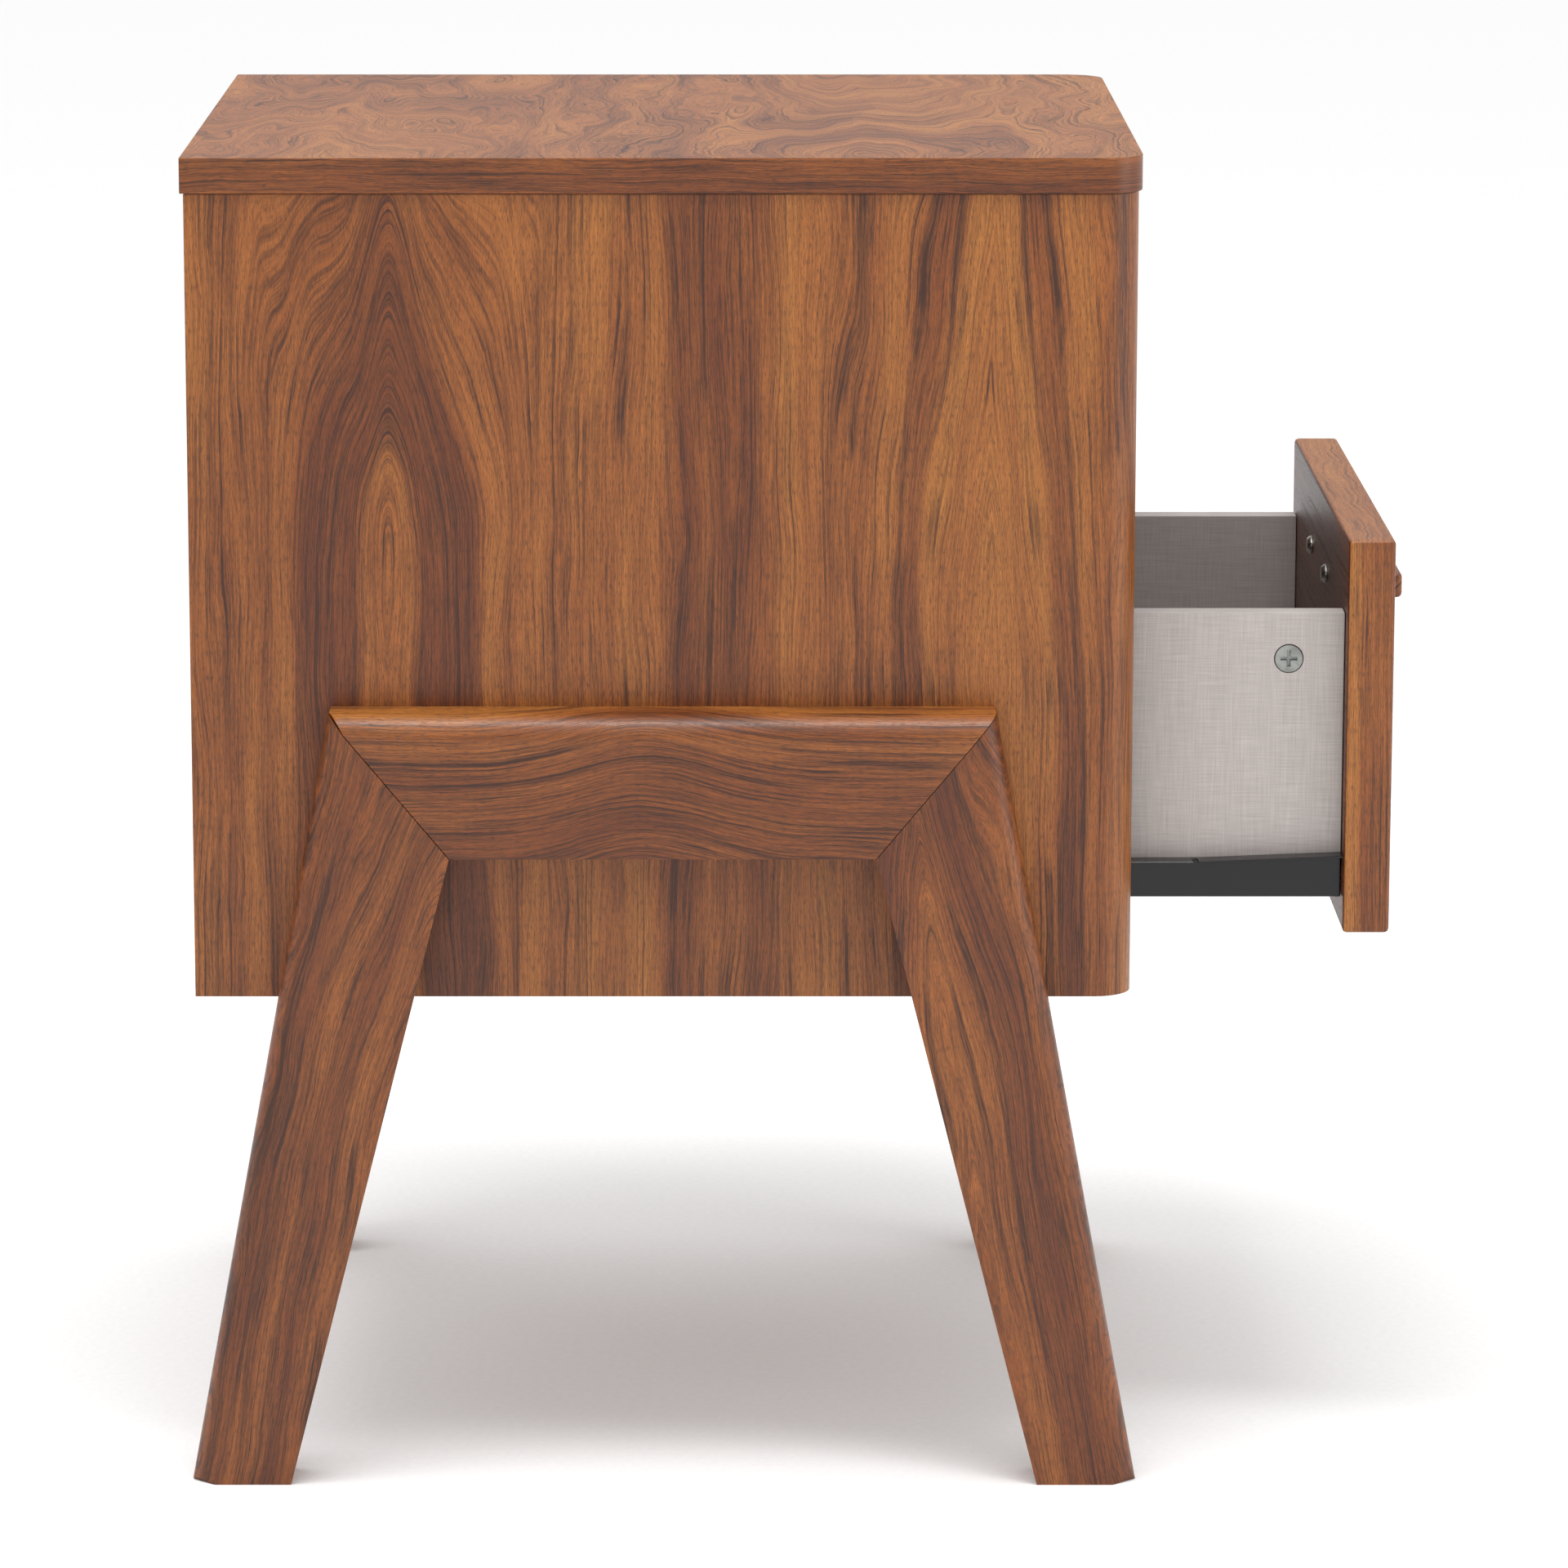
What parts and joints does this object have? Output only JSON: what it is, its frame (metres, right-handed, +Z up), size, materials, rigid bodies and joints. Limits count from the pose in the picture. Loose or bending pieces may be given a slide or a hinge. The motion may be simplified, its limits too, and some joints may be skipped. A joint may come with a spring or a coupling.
{
  "type": "side table with drawer",
  "caption": "Small wood-veneered side table: a box case with an open cubby over a drawer on roller runners, carried between mitred, splayed leg frames.",
  "frame": {"origin": "on the floor, under the middle of the box that holds the table at rest, drawer part open", "axes": "+Z up; -Y the way the drawer opens, towards the person using it; +X on that person's right"},
  "size_m": [0.4006, 0.5242, 0.5673],
  "materials": {
    "case_veneer": "walnut-toned veneer, satin lacquer",
    "leg_veneer": "walnut-toned veneer wrapped round a rounded edge, satin lacquer",
    "drawer_front_veneer": "walnut-toned veneer, satin lacquer",
    "pull_wood": "satin lacquer",
    "linen_board": "board wrapped in pale grey linen-look foil",
    "hardboard": "brown foil-faced hardboard",
    "beech": "bare",
    "zinc": "zinc plated",
    "runner_steel": "gloss black enamel",
    "nylon": "moulded"
  },
  "bodies": {
    "carcass": {"top_panel": "case_veneer", "left_side_panel": "case_veneer", "right_side_panel": "case_veneer", "bottom_panel": "case_veneer", "shelf_panel": "case_veneer", "back_panel": "hardboard", "left_leg_rail": "leg_veneer", "right_leg_rail": "leg_veneer", "left_front_leg": "leg_veneer", "left_rear_leg": "leg_veneer", "right_front_leg": "leg_veneer", "right_rear_leg": "leg_veneer", "left_front_mitre_dowel": "beech", "left_rear_mitre_dowel": "beech", "right_front_mitre_dowel": "beech", "right_rear_mitre_dowel": "beech", "left_front_shelf_dowel": "beech", "left_rear_shelf_dowel": "beech", "right_front_shelf_dowel": "beech", "right_rear_shelf_dowel": "beech", "left_front_top_dowel": "beech", "left_rear_top_dowel": "beech", "right_front_top_dowel": "beech", "right_rear_top_dowel": "beech", "left_front_frame_bolt": "zinc", "left_rear_frame_bolt": "zinc", "right_front_frame_bolt": "zinc", "right_rear_frame_bolt": "zinc", "left_front_bottom_cam": "zinc", "left_rear_bottom_cam": "zinc", "right_front_bottom_cam": "zinc", "right_rear_bottom_cam": "zinc", "left_front_bottom_cam_pin": "zinc", "left_rear_bottom_cam_pin": "zinc", "right_front_bottom_cam_pin": "zinc", "right_rear_bottom_cam_pin": "zinc", "left_case_runner": "runner_steel", "right_case_runner": "runner_steel", "left_front_roller_rivet": "zinc", "right_front_roller_rivet": "zinc"},
    "drawer": {"drawer_front": "drawer_front_veneer", "drawer_pull": "pull_wood", "drawer_left_side": "linen_board", "drawer_right_side": "linen_board", "drawer_back": "linen_board", "drawer_bottom": "linen_board", "drawer_left_cam": "zinc", "drawer_right_cam": "zinc", "drawer_left_cam_pin": "zinc", "drawer_right_cam_pin": "zinc", "left_pull_screw": "zinc", "right_pull_screw": "zinc", "left_drawer_runner": "runner_steel", "right_drawer_runner": "runner_steel", "left_rear_roller_rivet": "zinc", "right_rear_roller_rivet": "zinc"},
    "left_front_roller": {"left_front_roller": "nylon"},
    "left_rear_roller": {"left_rear_roller": "nylon"},
    "right_front_roller": {"right_front_roller": "nylon"},
    "right_rear_roller": {"right_rear_roller": "nylon"}
  },
  "joints": [
    {"name": "drawer_slide", "type": "slide", "parent": "carcass", "child": "drawer", "axis": [0, -1, 0], "range_m": [-0.113, 0.147]},
    {"name": "left_front_roller_spin", "type": "hinge", "parent": "carcass", "child": "left_front_roller", "pos_m": [-0.1403, -0.10685, 0.2534], "axis": [1, 0, 0], "continuous": true},
    {"name": "left_rear_roller_spin", "type": "hinge", "parent": "drawer", "child": "left_rear_roller", "pos_m": [-0.1412, 0.10875, 0.2495], "axis": [1, 0, 0], "continuous": true},
    {"name": "right_front_roller_spin", "type": "hinge", "parent": "carcass", "child": "right_front_roller", "pos_m": [0.1403, -0.10685, 0.2534], "axis": [1, 0, 0], "continuous": true},
    {"name": "right_rear_roller_spin", "type": "hinge", "parent": "drawer", "child": "right_rear_roller", "pos_m": [0.1412, 0.10875, 0.2495], "axis": [1, 0, 0], "continuous": true}
  ],
  "couplings": [
    {"joint": "left_front_roller_spin", "follows": "drawer_slide", "rad_per_m": 153.85},
    {"joint": "left_rear_roller_spin", "follows": "drawer_slide", "rad_per_m": 153.85},
    {"joint": "right_front_roller_spin", "follows": "drawer_slide", "rad_per_m": 153.85},
    {"joint": "right_rear_roller_spin", "follows": "drawer_slide", "rad_per_m": 153.85}
  ]
}
